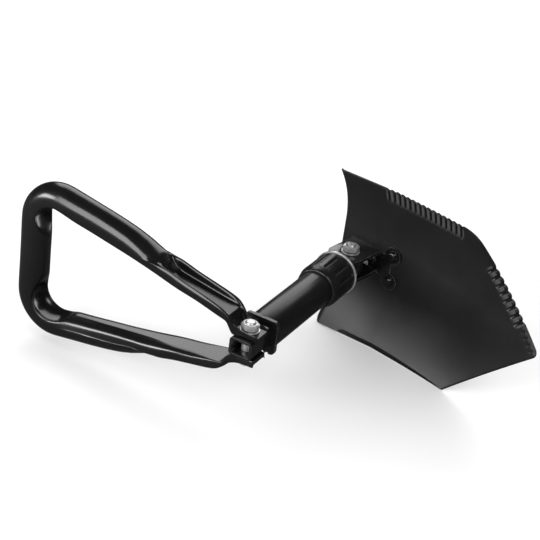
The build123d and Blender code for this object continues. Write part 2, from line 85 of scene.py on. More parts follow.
def place(name, points_mm, faces, body, sharp_deg=None, marks=None):
    """A mesh piece from points in millimetres, riding on a body."""
    mesh = bpy.data.meshes.new(name)
    mesh.from_pydata((np.asarray(points_mm, float) * MM).tolist(), [], faces)
    mesh.validate()
    mesh.polygons.foreach_set("use_smooth", [True] * len(mesh.polygons))
    if sharp_deg is not None:
        mesh.set_sharp_from_angle(angle=math.radians(sharp_deg))
    for mark, values in (marks or {}).items():
        layer = mesh.attributes.new(mark, "FLOAT", "POINT")
        layer.data.foreach_set("value", np.asarray(values, np.float32).ravel())
    piece = bpy.data.objects.new(name, mesh)
    bpy.context.scene.collection.objects.link(piece)
    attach(piece, body)
    return piece


def ring_faces(rings, columns, close_columns=True, start=0):
    """Quads joining rings of points, each ring columns long."""
    faces = []
    last = columns if close_columns else columns - 1
    for ring in range(rings - 1):
        for column in range(last):
            after = (column + 1) % columns
            low = start + ring * columns
            high = low + columns
            faces.append((low + column, low + after, high + after, high + column))
    return faces


def closing_faces(rings, columns):
    """Quads joining the last ring back to the first."""
    last = (rings - 1) * columns
    return [(last + c, last + (c + 1) % columns, (c + 1) % columns, c) for c in range(columns)]


# ------------------------------------------------------------------------------------- materials


class Nodes:
    """Small helper that builds a node material."""

    def __init__(self, name):
        self.material = bpy.data.materials.new(name)
        self.material.use_nodes = True
        self.tree = self.material.node_tree
        self.shader = self.tree.nodes["Principled BSDF"]
        self.place = self.add("ShaderNodeTexCoord").outputs["Object"]

    def feed(self, socket, value):
        if isinstance(value, bpy.types.NodeSocket):
            self.tree.links.new(value, socket)
        else:
            socket.default_value = value

    def add(self, kind, operation=None, **inputs):
        """A new node; an input goes by its name, or by its number as i0, i1 and so on."""
        node = self.tree.nodes.new(kind)
        if operation is not None:
            node.operation = operation
        for key, value in inputs.items():
            numbered = key[0] == "i" and key[1:].isdigit()
            self.feed(node.inputs[int(key[1:]) if numbered else key.replace("_", " ")], value)
        return node

    def noise(self, scale, detail=4.0, roughness=0.55, stretch=None):
        source = self.place
        if stretch is not None:
            source = self.add("ShaderNodeMapping", Vector=source, Scale=stretch).outputs[0]
        node = self.add("ShaderNodeTexNoise", Vector=source, Scale=scale, Detail=detail, Roughness=roughness)
        return node.outputs[0]

    def math(self, operation, a, b=0.0):
        return self.add("ShaderNodeMath", operation=operation, i0=a, i1=b).outputs[0]

    def fit(self, value, from_low, from_high, to_low, to_high):
        node = self.add("ShaderNodeMapRange", i0=value, i1=from_low, i2=from_high, i3=to_low, i4=to_high)
        return node.outputs[0]

    def mix(self, factor, a, b):
        """Colour a where factor is 0, b where it is 1."""
        node = self.tree.nodes.new("ShaderNodeMix")
        node.data_type = "RGBA"
        for socket, value in ((node.inputs[0], factor), (node.inputs[6], a), (node.inputs[7], b)):
            self.feed(socket, value)
        return node.outputs[2]

    def bump(self, height, distance, strength, normal=None):
        node = self.add("ShaderNodeBump", Strength=strength, Distance=distance, Height=height)
        if normal is not None:
            self.tree.links.new(normal, node.inputs["Normal"])
        return node.outputs[0]

    def set(self, **inputs):
        """Sets or links the shader's inputs and returns the finished material."""
        for key, value in inputs.items():
            self.feed(self.shader.inputs[key.replace("_", " ")], value)
        return self.material


# Relief of the bump textures, in metres
PEEL_DEPTH = 0.00012
GRAIN_DEPTH = 0.00006
FINE_DEPTH = 0.00005


def grey(value, tint=0.0):
    """A neutral colour, a little blue with a positive tint."""
    return (value * (1 - tint), value, value * (1 + tint), 1.0)


def edge_mask(m, width=0.0004):
    """1 along edges, broken up by noise: where a normal rounded over the width leaves the face's own. The
    lightened edges stand for wear and for painted highlight.
    """
    rounded = m.add("ShaderNodeBevel", Radius=width)
    rounded.samples = 6
    own = m.add("ShaderNodeNewGeometry").outputs["True Normal"]
    dot = m.add("ShaderNodeVectorMath", operation="DOT_PRODUCT", i0=rounded.outputs[0], i1=own)
    edges = m.fit(dot.outputs["Value"], 0.985, 0.90, 0.0, 1.0)
    return m.math("MULTIPLY", edges, m.fit(m.noise(160.0, 5.0), 0.38, 0.58, 0.25, 1.0))


def painted_mark(m, name):
    """A mark that the mesh carries on its points."""
    mark = m.add("ShaderNodeAttribute")
    mark.attribute_name = name
    return mark.outputs["Fac"]


def paint(name, base, roughness, coat, grain, edge_wear_and_highlight, grain_scale=2200.0, marked=False):
    """Black baked paint over steel: orange peel, fine grain, patchy sheen, faint rubs, and edges lightened as
    wear and as painted highlight.
    """
    m = Nodes(name)
    cloud = m.noise(14.0, 3.0)
    mottle = m.noise(240.0, 4.0)
    rubs = m.noise(30.0, 4.0, 0.6, (1.0, 5.0, 1.0))
    peel = m.noise(grain_scale * 0.28, 2.0)
    speck = m.noise(grain_scale, 3.0, 0.7)
    colour = m.mix(m.fit(cloud, 0.3, 0.7, 0.0, 1.0), grey(base * 0.8), grey(base * 1.25, 0.02))
    colour = m.mix(m.fit(mottle, 0.45, 0.75, 0.0, 0.22), colour, grey(base * 1.6, 0.03))
    if edge_wear_and_highlight > 0:
        # Edges lightened: part wear, part painted highlight.
        colour = m.mix(m.math("MULTIPLY", edge_mask(m), edge_wear_and_highlight), colour, grey(0.20, 0.02))
    rough = m.fit(cloud, 0.3, 0.7, roughness * 0.85, roughness * 1.15)
    rough = m.math("ADD", rough, m.fit(rubs, 0.5, 0.75, 0.0, 0.03))
    rough = m.math("ADD", rough, m.fit(mottle, 0.4, 0.7, -0.006, 0.01))
    if marked:
        # Ground edges darker, grooves darkened as painted shade, ridges lightened as wear and painted
        # highlight.
        ground_and_groove_shade = painted_mark(m, "ground_and_groove_shade")
        colour = m.mix(ground_and_groove_shade, colour, grey(0.0035))
        colour = m.mix(painted_mark(m, "ridge_wear_and_highlight"), colour, grey(0.085, 0.02))
        rough = m.math("SUBTRACT", rough, m.math("MULTIPLY", ground_and_groove_shade, 0.06))
    normal = m.bump(peel, PEEL_DEPTH, grain * 0.5)
    normal = m.bump(speck, GRAIN_DEPTH, grain, normal)
    return m.set(Base_Color=colour, Roughness=rough, Normal=normal, Specular_IOR_Level=0.55,
                 Coat_Weight=coat, Coat_Roughness=0.12)


def zinc(name, base, roughness, tooling, tooling_scale):
    """Bright zinc plate: patchy brightness, fine spangle, tooling marks, and creases darkened as painted shade.
    """
    m = Nodes(name)
    cloud = m.noise(180.0, 4.0)
    spangle = m.add("ShaderNodeTexVoronoi", Vector=m.place, Scale=1400.0).outputs["Distance"]
    marks = m.noise(tooling_scale, 5.0, 0.7, tooling)
    colour = m.mix(m.fit(cloud, 0.35, 0.7, 0.0, 1.0), grey(base * 0.82, 0.02), grey(base * 1.12, -0.01))
    colour = m.mix(m.fit(spangle, 0.1, 0.7, 0.25, 0.0), colour, grey(base * 0.7, 0.03))
    # Painted shade: the colour is darkened where ambient occlusion finds a crease.
    crease_shade = m.add("ShaderNodeAmbientOcclusion", Distance=0.0016)
    crease_shade.samples = 6
    colour = m.mix(m.fit(crease_shade.outputs["AO"], 0.35, 0.8, 0.8, 0.0), colour, (0.05, 0.047, 0.043, 1.0))
    rough = m.fit(marks, 0.3, 0.7, roughness * 0.7, roughness * 1.5)
    normal = m.bump(marks, FINE_DEPTH, 0.6)
    return m.set(Base_Color=colour, Metallic=0.7, Roughness=rough, Normal=normal)


def dark_steel(name):
    """Phosphated steel inside the joints, with a thin film of oil."""
    m = Nodes(name)
    cloud = m.noise(90.0, 5.0)
    grain = m.noise(2500.0, 3.0)
    colour = m.mix(m.fit(cloud, 0.35, 0.7, 0.0, 1.0), grey(0.05), grey(0.12, 0.03))
    colour = m.mix(m.math("MULTIPLY", edge_mask(m), 0.7), colour, grey(0.45))
    return m.set(Base_Color=colour, Metallic=0.85, Roughness=m.fit(cloud, 0.3, 0.7, 0.32, 0.5),
                 Normal=m.bump(grain, FINE_DEPTH, 0.7))


def nylon(name):
    """Moulded black nylon: spark-eroded texture, and rib edges lightened as rubbing and as painted highlight.
    """
    m = Nodes(name)
    cloud = m.noise(60.0, 4.0)
    texture = m.noise(2600.0, 4.0, 0.75)
    colour = m.mix(m.fit(cloud, 0.3, 0.7, 0.0, 1.0), grey(0.006), grey(0.011, 0.03))
    rub_and_highlight = edge_mask(m, 0.0006)
    # Rib edges lightened: part rubbing, part painted highlight lines.
    colour = m.mix(m.math("MULTIPLY", rub_and_highlight, 0.5), colour, grey(0.07, 0.02))
    rough = m.math("ADD", m.fit(cloud, 0.3, 0.7, 0.19, 0.26), m.fit(texture, 0.3, 0.7, -0.05, 0.06))
    return m.set(Base_Color=colour, Roughness=rough, Specular_IOR_Level=0.6,
                 Normal=m.bump(texture, FINE_DEPTH, 0.8))


BLADE_PAINT = paint("blade_paint", 0.007, 0.40, coat=0.0, grain=0.45, edge_wear_and_highlight=0.5, grain_scale=2600.0, marked=True)
BLACK_PAINT = paint("black_paint", 0.006, 0.26, coat=0.2, grain=0.2, edge_wear_and_highlight=0.9)
BRACKET_PAINT = paint("bracket_paint", 0.004, 0.2, coat=0.5, grain=0.12, edge_wear_and_highlight=1.0)
TUBE_PAINT = paint("tube_paint", 0.006, 0.34, coat=0.1, grain=0.15, edge_wear_and_highlight=0.0)
GLOSS_PAINT = paint("gloss_paint", 0.005, 0.23, coat=0.3, grain=0.12, edge_wear_and_highlight=0.0, grain_scale=1700.0)
ZINC = zinc("zinc_plate", 0.66, 0.28, (1.0, 1.0, 6.0), 900.0)
ZINC_TURNED = zinc("zinc_turned", 0.70, 0.22, (0.05, 1.0, 1.0), 1500.0)
DARK_STEEL = dark_steel("dark_steel")
NYLON = nylon("collar_nylon")


def finish_with(piece, material):
    """Makes this the piece's only material."""
    piece.data.materials.clear()
    piece.data.materials.append(material)


# ------------------------------------------------------------------------------- CAD pieces kept

# Each CAD piece's material and the width of its rounded edges
KEPT = {
    "blade_bracket": (BRACKET_PAINT, 0.35),
    "bracket_rivets": (BRACKET_PAINT, 0.0),
    "blade_hinge_washers": (ZINC, 0.2),
    "handle_hinge_washers": (ZINC, 0.2),
    "hinge_spacers": (ZINC_TURNED, 0.2),
    "pivot_fitting": (DARK_STEEL, 0.5),
    "cross_pin": (DARK_STEEL, 0.3),
    "shaft_tube": (TUBE_PAINT, 0.25),
    "thread_bush": (DARK_STEEL, 0.0),
    "thrust_ring": (ZINC_TURNED, 0.15),
    "yoke_plate": (BLACK_PAINT, 0.35),
    "handle_yoke": (BLACK_PAINT, 0.3),
    "handle_hinge_sleeve": (ZINC, 0.2),
}

# Edges sharper than this stay sharp, and points closer than this (in metres) are one
SHARP_DEG = 32
WELD_DISTANCE = 0.000002

smooth_by_angle = bpy.data.node_groups.new("smooth_by_angle", "GeometryNodeTree")
smooth_by_angle.interface.new_socket("Geometry", in_out="INPUT", socket_type="NodeSocketGeometry")
smooth_by_angle.interface.new_socket("Geometry", in_out="OUTPUT", socket_type="NodeSocketGeometry")
group_in = smooth_by_angle.nodes.new("NodeGroupInput")
group_out = smooth_by_angle.nodes.new("NodeGroupOutput")
edge_angle = smooth_by_angle.nodes.new("GeometryNodeInputMeshEdgeAngle")
is_smooth = smooth_by_angle.nodes.new("FunctionNodeCompare")
is_smooth.operation = "LESS_THAN"
is_smooth.inputs[1].default_value = math.radians(SHARP_DEG)
shade_faces = smooth_by_angle.nodes.new("GeometryNodeSetShadeSmooth")
shade_edges = smooth_by_angle.nodes.new("GeometryNodeSetShadeSmooth")
shade_edges.domain = "EDGE"
link = smooth_by_angle.links.new
link(group_in.outputs[0], shade_faces.inputs[0])
link(shade_faces.outputs[0], shade_edges.inputs[0])
link(edge_angle.outputs[0], is_smooth.inputs[0])
link(is_smooth.outputs[0], shade_edges.inputs["Shade Smooth"])
link(shade_edges.outputs[0], group_out.inputs[0])


def soften(piece, width_mm, segments=3, angle_deg=SHARP_DEG):
    """Rounded edges as modifiers, so the CAD mesh itself stays as packed."""
    weld = piece.modifiers.new("weld", "WELD")
    weld.merge_threshold = WELD_DISTANCE
    if width_mm > 0:
        bevel = piece.modifiers.new("bevel", "BEVEL")
        bevel.width = width_mm * MM
        bevel.segments = segments
        bevel.limit_method = "ANGLE"
        bevel.angle_limit = math.radians(angle_deg)
        bevel.use_clamp_overlap = True
    shade = piece.modifiers.new("shade", "NODES")
    shade.node_group = smooth_by_angle


for node_name, (material, width_mm) in KEPT.items():
    finish_with(nodes[node_name], material)
    soften(nodes[node_name], width_mm)

# ------------------------------------------------------------------------------------------ blade

# The blade's own directions at rest: towards its tip, and out of its hollow side
FOLD = math.radians(101.5)
TOWARDS_TIP = np.array([math.cos(FOLD), -math.sin(FOLD), 0.0])
HOLLOW_SIDE = np.array([-math.sin(FOLD), -math.cos(FOLD), 0.0])
# Outline: along from the pivot towards the tip, and across from the middle
BED = 24.0
SHEET = 2.0
REAR_EDGE = -32.0
SHOULDER = 110.0
HALF_WIDTH = 77.0
TIP_POINT = 190.0
TIP_ROUND = 6.0
TOOTHED_ROUND = 30.0
PLAIN_ROUND = 2.0
REAR_ROUND = 7.0
TIP_SLOPE = math.atan2(HALF_WIDTH, TIP_POINT - SHOULDER)
EDGE_ALONG = np.array([math.cos(TIP_SLOPE), -math.sin(TIP_SLOPE)])
EDGE_OUT = np.array([math.sin(TIP_SLOPE), math.cos(TIP_SLOPE)])
# Dish
FLAT_HALF_WIDTH = 20.0
DISH_START = 50.0
DISH_DEPTH = 12.5
REAR_LIFT_START = 30.0
REAR_CORNER_LIFT = 8.0
TIP_LIFT = 13.5
TIP_LIFT_POWER = 2.2
LIP_START = -24.0
LIP_SHARPNESS = 5.0
# Teeth: (first gullet, pitch, count), then how far each gullet cuts in and how deep its groove is pressed
SIDE_TEETH = (20.0, 5.4, 15)
SIDE_CUT = 3.1
SIDE_PRESS = 1.9
TIP_TEETH = (33.0, 6.8, 8)
TIP_CUT = 3.7
TIP_PRESS = 1.8
GULLET_ROUNDNESS = 2.0
GROOVE_WIDTH = 1.15
GROOVE_SHARPNESS = 1.5
# Ticks near the tip, along the toothed tip edge and in from it
TICKS = 4
TICKS_FROM = 88.5
TICK_PITCH = 5.6
TICK_IN = 5.2
TICK_HALF = (1.1, 2.4)
TICK_PRESS = 0.45
# Ground edges
PLAIN_GRIND = 4.0
PLAIN_GRIND_LOSS = 2.8
PLAIN_GRIND_DEPTH = 1.25
TOOTHED_GRIND = 3.4
TOOTHED_GRIND_DEPTH = 1.2
NO_GRIND = 0.001
# Columns of points kept close to each edge
TOOTHED_BAND = 19.0
PLAIN_BAND = 7.0
MIDDLE_COLUMNS = 40
TIP_ROWS_FROM = 184.0


def sheet_height(along, across):
    """Height of the hollow side over the blade's flat bed."""
    flat = FLAT_HALF_WIDTH * (1 - ramp(along, DISH_START, TIP_POINT))
    rise = np.maximum(np.abs(across) - flat, 0) / (HALF_WIDTH - flat)
    side_depth = DISH_DEPTH + REAR_CORNER_LIFT * ramp(along, REAR_LIFT_START, REAR_EDGE)
    scoop = TIP_LIFT * (np.maximum(along - DISH_START, 0) / (TIP_POINT - DISH_START)) ** TIP_LIFT_POWER
    lip = np.maximum(LIP_START - along, 0) ** 2 / (2 * LIP_SHARPNESS)
    return side_depth * rise**2 + scoop - lip


def half_outline(along, shoulder_round):
    """Half width of the blade, with its rear corner, shoulder and tip rounded."""
    width = np.where(along > SHOULDER, (TIP_POINT - along) * math.tan(TIP_SLOPE), HALF_WIDTH)
    reach = shoulder_round * math.tan(TIP_SLOPE / 2)
    start = SHOULDER - reach
    end = start + shoulder_round * math.sin(TIP_SLOPE)
    arc = HALF_WIDTH - shoulder_round + np.sqrt(np.maximum(shoulder_round**2 - (along - start) ** 2, 0))
    width = np.where((along > start) & (along < end), arc, width)
    tip_centre = TIP_POINT - TIP_ROUND / math.sin(TIP_SLOPE)
    tip_start = tip_centre + TIP_ROUND * math.sin(TIP_SLOPE)
    tip = np.sqrt(np.maximum(TIP_ROUND**2 - (along - tip_centre) ** 2, 0))
    width = np.where(along > tip_start, tip, width)
    rear_start = REAR_EDGE + REAR_ROUND
    rear = HALF_WIDTH - REAR_ROUND + np.sqrt(np.maximum(REAR_ROUND**2 - (rear_start - along) ** 2, 0))
    return np.where(along < rear_start, rear, width)


def teeth(t, edge_in, row, cut_depth, cut_reach, cut_falloff, fade, ridge_fade):
    """How far the edge is cut back, how strongly grooves show, and where ridges are lightened as wear and
    painted highlight, in a row of teeth along t.
    """
    start, pitch, count = row
    phase = (t - start) / pitch
    inside = ((phase > -0.5) & (phase < count - 0.5)).astype(float)
    off = np.clip(np.abs(phase - np.floor(phase) - 0.5) * 2, 0, 1)
    scallop = cut_depth * (1 - (1 - off**GULLET_ROUNDNESS) ** (1 / GULLET_ROUNDNESS))
    cut = scallop * inside * (1 - ramp(edge_in, 0.0, cut_reach)) ** cut_falloff
    groove = inside * np.cos(np.pi * (1 - off) / GROOVE_WIDTH).clip(0) ** GROOVE_SHARPNESS
    groove = groove * (1 - smooth(edge_in, *fade)) * smooth(edge_in, -1.5, 2.0)
    return cut, groove, inside * (1 - smooth(edge_in, *ridge_fade))


def blade_grid():
    """Grid of points over the outline, closer together at its edges, and each row's two half widths."""
    tip_end = TIP_POINT - TIP_ROUND / math.sin(TIP_SLOPE) + TIP_ROUND
    along_rows = np.concatenate([
        np.linspace(REAR_EDGE, LIP_START, 26),
        np.linspace(LIP_START, SHOULDER, 320)[1:],
        np.linspace(SHOULDER, TIP_ROWS_FROM, 230)[1:],
        TIP_ROWS_FROM + (tip_end - TIP_ROWS_FROM) * np.sin(np.linspace(0, math.pi / 2, 22)[1:]),
    ])
    toothed = np.concatenate([np.linspace(0, 6, 13), np.linspace(6, TOOTHED_BAND, 18)[1:]])
    plain = np.linspace(0, PLAIN_BAND, 15)
    columns = len(toothed) + len(plain) + MIDDLE_COLUMNS
    upper = half_outline(along_rows, TOOTHED_ROUND)
    lower = half_outline(along_rows, PLAIN_ROUND)
    across = np.zeros((len(along_rows), columns))
    for row, (high, low) in enumerate(zip(upper, lower)):
        width = max(high + low, 0.02)
        low_side = -low + plain * min(1.0, 0.25 * width / PLAIN_BAND)
        high_side = (high - toothed * min(1.0, 0.45 * width / TOOTHED_BAND))[::-1]
        middle = np.linspace(low_side[-1], high_side[0], MIDDLE_COLUMNS + 2)[1:-1]
        across[row] = np.concatenate([low_side, middle, high_side])
    along = np.repeat(along_rows[:, None], columns, axis=1)
    return along, across, upper[:, None], lower[:, None]


def build_blade():
    along, across, upper, lower = blade_grid()
    rows, columns = along.shape

    # Distances along the tip's toothed edge, and in from each edge
    side_in = HALF_WIDTH - across
    t_tip = (along - SHOULDER) * EDGE_ALONG[0] + (across - HALF_WIDTH) * EDGE_ALONG[1]
    tip_in = -((along - SHOULDER) * EDGE_OUT[0] + (across - HALF_WIDTH) * EDGE_OUT[1])
    inward = np.where(along > SHOULDER + 6.0, tip_in, upper - across)
    plain_tip_in = -((along - SHOULDER) * EDGE_OUT[0] + (-across - HALF_WIDTH) * EDGE_OUT[1])
    plain_in = np.where(along > SHOULDER, np.minimum(plain_tip_in, across + HALF_WIDTH), across + lower)

    side_cut, side_groove, side_ridge_wear_and_highlight = teeth(
        along, side_in, SIDE_TEETH, SIDE_CUT, cut_reach=4.5, cut_falloff=1.3, fade=(10.5, 15.5),
        ridge_fade=(9.0, 15.0))
    tip_cut, tip_groove, tip_ridge_wear_and_highlight = teeth(
        t_tip, tip_in, TIP_TEETH, TIP_CUT, cut_reach=5.0, cut_falloff=1.2, fade=(8.5, 13.5),
        ridge_fade=(7.0, 13.0))
    pressed = SIDE_PRESS * side_groove + TIP_PRESS * tip_groove
    for tick in range(TICKS):
        t_off = (t_tip - TICKS_FROM - TICK_PITCH * tick) / TICK_HALF[0]
        in_off = (tip_in - TICK_IN) / TICK_HALF[1]
        pressed = pressed + TICK_PRESS * np.exp(-(t_off**2) - in_off**4)
    height = sheet_height(along, across)
    top = height - pressed
    bottom = height - SHEET - pressed

    # Ground edges: broad along the plain side, narrow round the toothed shoulder and tip
    plain_width = PLAIN_GRIND - PLAIN_GRIND_LOSS * ramp(along, 50.0, 112.0)
    plain_width = np.where(along < -5.0, NO_GRIND, plain_width) * smooth(along, -7.0, -1.0) + NO_GRIND
    top = top - PLAIN_GRIND_DEPTH * np.clip(1 - plain_in / plain_width, 0, 1)
    toothed_width = TOOTHED_GRIND * smooth(along, 93.0, 99.0) + NO_GRIND
    top = top - TOOTHED_GRIND_DEPTH * np.clip(1 - inward / toothed_width, 0, 1)
    # Paint marks: ground edges darker, pressed grooves darkened as painted shade, and ridges lightened as wear
    # and as painted highlight.
    ground_and_groove_shade = np.maximum((plain_in < plain_width) * (plain_width > 0.2),
                        (inward < toothed_width) * (toothed_width > 0.2))
    grooves = np.maximum(side_groove, tip_groove)
    ground_and_groove_shade = np.maximum(ground_and_groove_shade, 0.9 * grooves)
    ridge_wear_and_highlight = np.where(along < SHOULDER, side_ridge_wear_and_highlight, np.where(along > SHOULDER, tip_ridge_wear_and_highlight, 0.0))
    ridge_wear_and_highlight = 0.6 * ridge_wear_and_highlight * (1 - np.clip(2.2 * grooves, 0, 1)) * (1 - ground_and_groove_shade) * smooth(inward, 0.3, 2.5)

    cut_along = along - tip_cut * EDGE_OUT[0]
    cut_across = across - side_cut - tip_cut * EDGE_OUT[1]

    def points(level):
        return (blade_pivot + cut_along[..., None] * TOWARDS_TIP + cut_across[..., None] * UP
                + (level - BED)[..., None] * HOLLOW_SIDE).reshape(-1, 3)

    vertices = np.concatenate([points(top), points(bottom)])
    count = rows * columns
    faces = ring_faces(rows, columns, close_columns=False)
    faces += [tuple(reversed([count + i for i in face])) for face in faces]
    rim = [row * columns for row in range(rows)]
    rim += [(rows - 1) * columns + column for column in range(1, columns)]
    rim += [row * columns + columns - 1 for row in range(rows - 2, -1, -1)]
    rim += list(range(columns - 2, 0, -1))
    for i, a in enumerate(rim):
        b = rim[(i + 1) % len(rim)]
        faces.append((a, b, b + count, a + count))
    unmarked = np.zeros(count)
    marks = {"ground_and_groove_shade": np.append(ground_and_groove_shade, unmarked), "ridge_wear_and_highlight": np.append(ridge_wear_and_highlight, unmarked)}
    piece = place("blade_sheet", vertices, faces, "blade_body", marks=marks)
    finish_with(piece, BLADE_PAINT)
    soften(piece, 0.28, 2, 50)
    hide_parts("blade")


build_blade()

# --------------------------------------------------------------------------------------- D-handle

# Distances along the D from its pivot, and out from its middle
TUBE = 12.0
LEG_AT_PIVOT = 16.6
LEG_SLOPE = 0.163
TAB_INNER = 8.4
STEP_START = 8.5
STEP_END = 16.5
FLOOR = 3.4
GRIP = 208.0
BEND = 24.0
ROUND_FROM = 116.0
TAB_END_ROUND = 1.5
TAB_END_ROUND_FROM = -10.0
# Profiles along the D: (distances, values)
TAB_UNTIL = 27.0
TAB_RIM = ([-11.5, -4.0, 3.0, 9.0, 14.0, 20.0, TAB_UNTIL], [14.3, 14.4, 15.2, 17.8, 22.6, 27.6, 29.9])
LEG_THICKNESS = ([TAB_UNTIL, 35.0, 60.0, 80.0, 92.0, 104.0, 116.0, 130.0, 146.0],
                 [8.9, 9.6, 10.9, 13.3, 16.3, 20.0, 22.4, 23.5, 24.0])
# The tabs are narrower than the legs, most of all at their inner face, to clear the folded blade's tip
LEG_HALF_WIDTH = ([2.0, 10.0, STEP_END, 92.0, ROUND_FROM], [10.2, 11.2, 12.75, 12.75, TUBE])
TAB_PINCH = 1.1
LEG_SWELL = 0.6
GRIP_SWELL = 1.1
# Trough over the tabs and legs
TROUGH_WALL = 3.7
TROUGH_WALL_GAIN = 2.8
TROUGH_HALF_WIDTH = 8.5
TROUGH_EXIT_START = 66.0
TROUGH_EXIT_END = 91.0
# Points of half a section, from the inner middle to the outer middle, and where the corner's dent puts them
ROLES = 16
DENTED = ((0.0, 10.6), (4.6, 10.2), (8.2, 9.0), (10.5, 7.0), (11.7, 5.9), (12.5, 8.0), (12.6, 11.0))
LAST_INNER_ROLE = 4
LAST_SIDE_ROLE = 6
BEND_STEPS = 18
GRIP_STEPS = 7
TAB_STATIONS = [-11.5, -11.42, -11.1, -10.5, -9.6, -6.0, -2.5, 1.0, 4.5,
                7.5, 9.3, 10.4, 11.4, 12.4, 13.4, 14.5, 16.0]

leg_direction = np.array([1.0, LEG_SLOPE]) / math.hypot(1.0, LEG_SLOPE)
leg_outward = np.array([-leg_direction[1], leg_direction[0]])
turn = math.pi / 2 + math.atan(LEG_SLOPE)
leg_last = np.array([ROUND_FROM, LEG_AT_PIVOT + LEG_SLOPE * ROUND_FROM]) + leg_outward * TUBE
bend_corner = np.array([GRIP, leg_last[1] + LEG_SLOPE * (GRIP - leg_last[0])])
bend_start = bend_corner - leg_direction * BEND * math.tan(turn / 2)
bend_centre = bend_start - leg_outward * BEND
leg_finish = (bend_start - leg_outward * TUBE)[0]
bend_finish = leg_finish + BEND * turn
handle_length = bend_finish + bend_centre[1]


def onto_leg(along):
    """0 on the tab, 1 on the leg, along the step between them."""
    return float(smooth(along, STEP_START, STEP_END))


def inner_line(along):
    """Height of the tab's, then the leg's, inner face over the D's middle."""
    share = onto_leg(along)
    return TAB_INNER * (1 - share) + (LEG_AT_PIVOT + LEG_SLOPE * along) * share


def handle_stations():
    """(distance along, inner line point, outward direction) from the upper tab's end to the grip's middle."""
    leg = [*np.linspace(18.0, 62.0, 13), *np.linspace(64.0, 108.0, 25), *np.linspace(111.0, leg_finish, 20)]
    found = []
    for along in TAB_STATIONS + leg:
        share = onto_leg(along)
        outward = np.array([0.0, 1.0]) * (1 - share) + leg_outward * share
        found.append((along, np.array([along, inner_line(along)]), outward / np.linalg.norm(outward)))
    for step in range(1, BEND_STEPS + 1):
        angle = turn * step / BEND_STEPS
        outward = np.array([
            leg_outward[0] * math.cos(angle) + leg_outward[1] * math.sin(angle),
            -leg_outward[0] * math.sin(angle) + leg_outward[1] * math.cos(angle),
        ])
        found.append((leg_finish + BEND * angle, bend_centre + outward * (BEND - TUBE), outward))
    for step in range(1, GRIP_STEPS + 1):
        z = bend_centre[1] * (1 - step / GRIP_STEPS)
        found.append((handle_length - z, np.array([GRIP - TUBE, z]), np.array([1.0, 0.0])))
    return found


def handle_section(q):
    """Half of the section at distance q: each role's place across and outward, from the inner middle."""
    if q < TAB_UNTIL:
        thick = np.interp(q, *TAB_RIM) - inner_line(q)
    else:
        thick = np.interp(q, *LEG_THICKNESS)
    half = np.interp(q, *LEG_HALF_WIDTH)
    half = half + LEG_SWELL * smooth(q, 150.0, 180.0) * (1 - smooth(q, bend_finish - 8, handle_length - 4))
    if q < TAB_END_ROUND_FROM:
        rounding = TAB_END_ROUND**2 - (TAB_END_ROUND_FROM - q) ** 2
        half = half - TAB_END_ROUND + math.sqrt(max(rounding, 0.01))
    trough = max(half - TROUGH_WALL, TROUGH_HALF_WIDTH) - TROUGH_WALL_GAIN * smooth(q, 76.0, TROUGH_EXIT_END)
    floor = FLOOR + (thick - 0.4 - FLOOR) * smooth(q, TROUGH_EXIT_START, TROUGH_EXIT_END) ** 1.8
    wall = max(thick - floor, 0.05)
    corner = 0.8 + 2.8 * smooth(q, 14.0, 50.0) + 3.0 * smooth(q, 56.0, 96.0)
    lip = min(1.4 + 1.6 * smooth(q, 14.0, 50.0), 0.45 * wall + 0.7)
    pressed = [
        # Inner face and its rounded corner
        (0.0, 0.0), (0.42 * half, 0.0), (half - 1.5 * corner, 0.0), (half - 0.62 * corner, 0.16 * corner),
        (half - 0.16 * corner, 0.62 * corner), (half, max(0.35 * thick, 1.1 * corner)), (half, thick - lip),
        # Rolled rim, then down the trough's wall to its floor
        (half - 0.32 * lip, thick - 0.25 * lip), ((half + trough) / 2 + 0.2, thick),
        (trough + 0.8, thick - 0.4), (trough + 0.1, thick - min(1.9, 0.5 * wall)),
        (trough - 0.3, floor + 0.30 * wall), (trough - 1.3, floor + 0.02 * wall),
        (0.62 * trough, floor), (0.31 * trough, floor), (0.0, floor),
    ]
    # How much of the pressed shape is left on the outer and inner sides; the rest is the round tube
    out_weight = 1 - smooth(q, 70.0, 106.0)
    in_weight = 1 - 0.4 * smooth(q, 70.0, 110.0)
    in_weight -= 0.3 * smooth(q, 114.0, 160.0)
    in_weight -= 0.3 * smooth(q, 176.0, 204.0)
    dent = smooth(q, 164.0, 181.0) * (1 - smooth(q, bend_finish - 4, bend_finish + 15))
    pinch = TAB_PINCH * (1 - smooth(q, 2.0, 12.0))
    swell = GRIP_SWELL * smooth(q, bend_finish - 20, bend_finish + 8)
    section = []
    for role, (a, b) in enumerate(pressed):
        angle = math.pi * role / (ROLES - 1)
        if role <= LAST_INNER_ROLE:
            weight = in_weight
        elif role <= LAST_SIDE_ROLE:
            weight = (in_weight + out_weight) / 2
        else:
            weight = out_weight
        a = a * weight + half * math.sin(angle) * (1 - weight)
        b = b * weight + thick / 2 * (1 - math.cos(angle)) * (1 - weight)
        if role <= LAST_SIDE_ROLE:
            a = a * (1 - dent) + DENTED[role][0] * dent
            b = b * (1 - dent) + DENTED[role][1] * dent
            a = a * (1 - pinch / half * (1 - b / thick))
        section.append((a, b + swell * (2 * b / thick - 1)))
    return section


def end_cap(start, columns, opposite):
    """Quads that close one end of the D, whose first point is start."""
    caps = []
    for side in (1, -1):
        ring = [start + (side * role) % columns for role in range(ROLES)]
        for i in range(ROLES // 2 - 1):
            face = (ring[i], ring[i + 1], ring[ROLES - 2 - i], ring[ROLES - 1 - i])
            caps.append(tuple(reversed(face)) if opposite != (side == -1) else face)
    return caps


